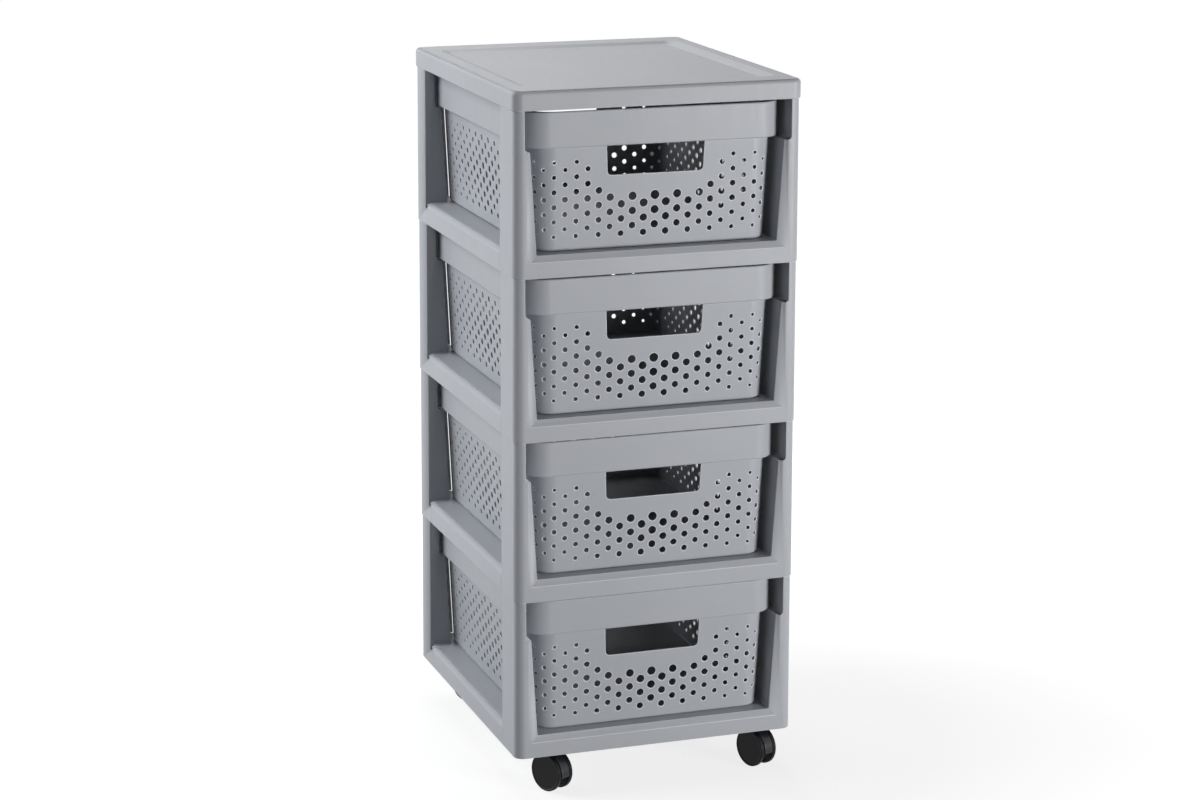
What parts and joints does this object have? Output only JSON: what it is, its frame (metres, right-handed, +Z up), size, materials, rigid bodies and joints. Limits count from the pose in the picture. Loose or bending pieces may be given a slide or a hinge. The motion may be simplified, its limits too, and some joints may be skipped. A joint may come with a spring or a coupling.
{
  "type": "plastic drawer tower",
  "caption": "Tall open-frame storage tower with perforated pull-out drawers, a flat tray top and swivelling twin-wheel casters.",
  "frame": {"origin": "on the floor, under the middle of the tower", "axes": "+Z up, -Y towards the front that the drawers pull out of, +X to the right seen from the front"},
  "size_m": [0.301, 0.3586, 0.7214],
  "materials": {
    "frame_plastic": "light grey injection-moulded plastic with a fine satin texture",
    "drawer_plastic": "light grey injection-moulded plastic with a fine satin texture",
    "hood_plastic": "black satin plastic",
    "wheel_plastic": "black satin plastic",
    "caster_steel": "plated steel"
  },
  "bodies": {
    "tower": {"top_cover": "frame_plastic", "tier_1_front_frame": "frame_plastic", "tier_1_back_frame": "frame_plastic", "tier_1_left_rail": "frame_plastic", "tier_1_right_rail": "frame_plastic", "tier_2_front_frame": "frame_plastic", "tier_2_back_frame": "frame_plastic", "tier_2_left_rail": "frame_plastic", "tier_2_right_rail": "frame_plastic", "tier_3_front_frame": "frame_plastic", "tier_3_back_frame": "frame_plastic", "tier_3_left_rail": "frame_plastic", "tier_3_right_rail": "frame_plastic", "tier_4_front_frame": "frame_plastic", "tier_4_back_frame": "frame_plastic", "tier_4_left_rail": "frame_plastic", "tier_4_right_rail": "frame_plastic", "caster_front_left_stem": "caster_steel", "caster_front_right_stem": "caster_steel", "caster_back_left_stem": "caster_steel", "caster_back_right_stem": "caster_steel"},
    "drawer_1": {"drawer_1": "drawer_plastic"},
    "drawer_2": {"drawer_2": "drawer_plastic"},
    "drawer_3": {"drawer_3": "drawer_plastic"},
    "drawer_4": {"drawer_4": "drawer_plastic"},
    "caster_front_left": {"caster_front_left_hood": "hood_plastic", "caster_front_left_axle": "caster_steel"},
    "caster_front_left_left_wheel": {"caster_front_left_left_wheel": "wheel_plastic"},
    "caster_front_left_right_wheel": {"caster_front_left_right_wheel": "wheel_plastic"},
    "caster_front_right": {"caster_front_right_hood": "hood_plastic", "caster_front_right_axle": "caster_steel"},
    "caster_front_right_left_wheel": {"caster_front_right_left_wheel": "wheel_plastic"},
    "caster_front_right_right_wheel": {"caster_front_right_right_wheel": "wheel_plastic"},
    "caster_back_left": {"caster_back_left_hood": "hood_plastic", "caster_back_left_axle": "caster_steel"},
    "caster_back_left_left_wheel": {"caster_back_left_left_wheel": "wheel_plastic"},
    "caster_back_left_right_wheel": {"caster_back_left_right_wheel": "wheel_plastic"},
    "caster_back_right": {"caster_back_right_hood": "hood_plastic", "caster_back_right_axle": "caster_steel"},
    "caster_back_right_left_wheel": {"caster_back_right_left_wheel": "wheel_plastic"},
    "caster_back_right_right_wheel": {"caster_back_right_right_wheel": "wheel_plastic"}
  },
  "joints": [
    {"name": "drawer_1_slide", "type": "slide", "parent": "tower", "child": "drawer_1", "axis": [0, -1, 0], "range_m": [0, 0.24]},
    {"name": "drawer_2_slide", "type": "slide", "parent": "tower", "child": "drawer_2", "axis": [0, -1, 0], "range_m": [0, 0.24]},
    {"name": "drawer_3_slide", "type": "slide", "parent": "tower", "child": "drawer_3", "axis": [0, -1, 0], "range_m": [0, 0.24]},
    {"name": "drawer_4_slide", "type": "slide", "parent": "tower", "child": "drawer_4", "axis": [0, -1, 0], "range_m": [0, 0.24]},
    {"name": "caster_front_left_swivel", "type": "hinge", "parent": "tower", "child": "caster_front_left", "pos_m": [-0.113, -0.1455, 0.042], "axis": [0, 0, 1], "continuous": true},
    {"name": "caster_front_left_left_wheel_spin", "type": "hinge", "parent": "caster_front_left", "child": "caster_front_left_left_wheel", "pos_m": [-0.10642, -0.15898, 0.02], "axis": [0.8988, 0.4384, 0], "continuous": true},
    {"name": "caster_front_left_right_wheel_spin", "type": "hinge", "parent": "caster_front_left", "child": "caster_front_left_right_wheel", "pos_m": [-0.10642, -0.15898, 0.02], "axis": [0.8988, 0.4384, 0], "continuous": true},
    {"name": "caster_front_right_swivel", "type": "hinge", "parent": "tower", "child": "caster_front_right", "pos_m": [0.113, -0.1455, 0.042], "axis": [0, 0, 1], "continuous": true},
    {"name": "caster_front_right_left_wheel_spin", "type": "hinge", "parent": "caster_front_right", "child": "caster_front_right_left_wheel", "pos_m": [0.11813, -0.1596, 0.02], "axis": [0.9397, 0.342, 0], "continuous": true},
    {"name": "caster_front_right_right_wheel_spin", "type": "hinge", "parent": "caster_front_right", "child": "caster_front_right_right_wheel", "pos_m": [0.11813, -0.1596, 0.02], "axis": [0.9397, 0.342, 0], "continuous": true},
    {"name": "caster_back_left_swivel", "type": "hinge", "parent": "tower", "child": "caster_back_left", "pos_m": [-0.113, 0.1455, 0.042], "axis": [0, 0, 1], "continuous": true},
    {"name": "caster_back_left_left_wheel_spin", "type": "hinge", "parent": "caster_back_left", "child": "caster_back_left_left_wheel", "pos_m": [-0.1069, 0.1318, 0.02], "axis": [0.9135, 0.4067, 0], "continuous": true},
    {"name": "caster_back_left_right_wheel_spin", "type": "hinge", "parent": "caster_back_left", "child": "caster_back_left_right_wheel", "pos_m": [-0.1069, 0.1318, 0.02], "axis": [0.9135, 0.4067, 0], "continuous": true},
    {"name": "caster_back_right_swivel", "type": "hinge", "parent": "tower", "child": "caster_back_right", "pos_m": [0.113, 0.1455, 0.042], "axis": [0, 0, 1], "continuous": true},
    {"name": "caster_back_right_left_wheel_spin", "type": "hinge", "parent": "caster_back_right", "child": "caster_back_right_left_wheel", "pos_m": [0.1191, 0.1318, 0.02], "axis": [0.9135, 0.4067, 0], "continuous": true},
    {"name": "caster_back_right_right_wheel_spin", "type": "hinge", "parent": "caster_back_right", "child": "caster_back_right_right_wheel", "pos_m": [0.1191, 0.1318, 0.02], "axis": [0.9135, 0.4067, 0], "continuous": true}
  ]
}
